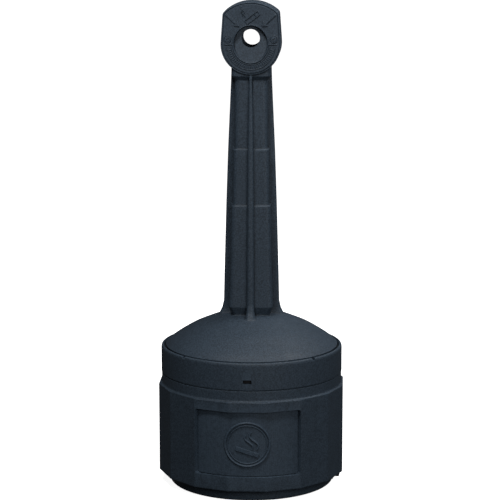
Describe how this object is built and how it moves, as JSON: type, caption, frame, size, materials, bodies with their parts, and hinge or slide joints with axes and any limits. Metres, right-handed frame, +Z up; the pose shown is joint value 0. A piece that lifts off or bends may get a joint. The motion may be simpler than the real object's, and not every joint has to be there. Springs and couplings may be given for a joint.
{
  "type": "ashtray bin",
  "caption": "Free-standing outdoor ashtray bin: a head with a drop-in hole on a hollow neck and a domed hood, which lifts off a faceted base tub that holds a metal pail.",
  "frame": {"origin": "centre of the base's underside, on the floor", "axes": "+Z up along the neck, -Y towards the front with the latch slot, +X to the right of a person facing the back, so the anchor tab is on the +X side"},
  "size_m": [0.3744, 0.3744, 0.978],
  "materials": {
    "charcoal_plastic": "charcoal blue-grey moulded polyethylene with a fine grain",
    "black_plastic": "black moulded plastic",
    "black_steel": "black coated steel",
    "screw_steel": "dark zinc-plated steel",
    "galvanised_steel": "galvanised sheet with a dull spangle"
  },
  "bodies": {
    "base": {"base_tub": "charcoal_plastic", "latch_housing": "black_plastic", "latch_screw_left": "screw_steel", "latch_screw_right": "screw_steel", "anchor_tab": "black_steel", "anchor_screw_front": "screw_steel", "anchor_screw_rear": "screw_steel"},
    "hood": {"hood_shell": "charcoal_plastic", "front_face_plate": "charcoal_plastic", "rear_face_plate": "charcoal_plastic", "front_plate_screw_left": "screw_steel", "front_plate_screw_right": "screw_steel", "rear_plate_screw_left": "screw_steel", "rear_plate_screw_right": "screw_steel"},
    "pail": {"pail_body": "galvanised_steel", "pail_bottom": "galvanised_steel", "pail_ear_left": "galvanised_steel", "pail_ear_right": "galvanised_steel", "ear_rivet_left_front": "galvanised_steel", "ear_rivet_left_rear": "galvanised_steel", "ear_rivet_right_front": "galvanised_steel", "ear_rivet_right_rear": "galvanised_steel"},
    "bail": {"bail_wire": "galvanised_steel"},
    "grip": {"bail_grip": "black_plastic"},
    "latch": {"latch_bolt": "black_plastic"}
  },
  "joints": [
    {"name": "hood_lift", "type": "slide", "parent": "base", "child": "hood", "axis": [0, 0, 1], "range_m": [0, 0.5]},
    {"name": "pail_lift", "type": "slide", "parent": "base", "child": "pail", "axis": [0, 0, 1], "range_m": [0, 0.25]},
    {"name": "bail_swing", "type": "hinge", "parent": "pail", "child": "bail", "pos_m": [0, 0, 0.222], "axis": [1, 0, 0], "range_deg": [0, 180]},
    {"name": "grip_spin", "type": "hinge", "parent": "bail", "child": "grip", "pos_m": [0, 0.09933, 0.222], "axis": [1, 0, 0], "continuous": true},
    {"name": "latch_slide", "type": "slide", "parent": "base", "child": "latch", "axis": [0, -1, 0], "range_m": [0, 0.006]}
  ],
  "couplings": [
    {"joint": "pail_lift", "follows": "hood_lift", "ratio": 0.5}
  ]
}
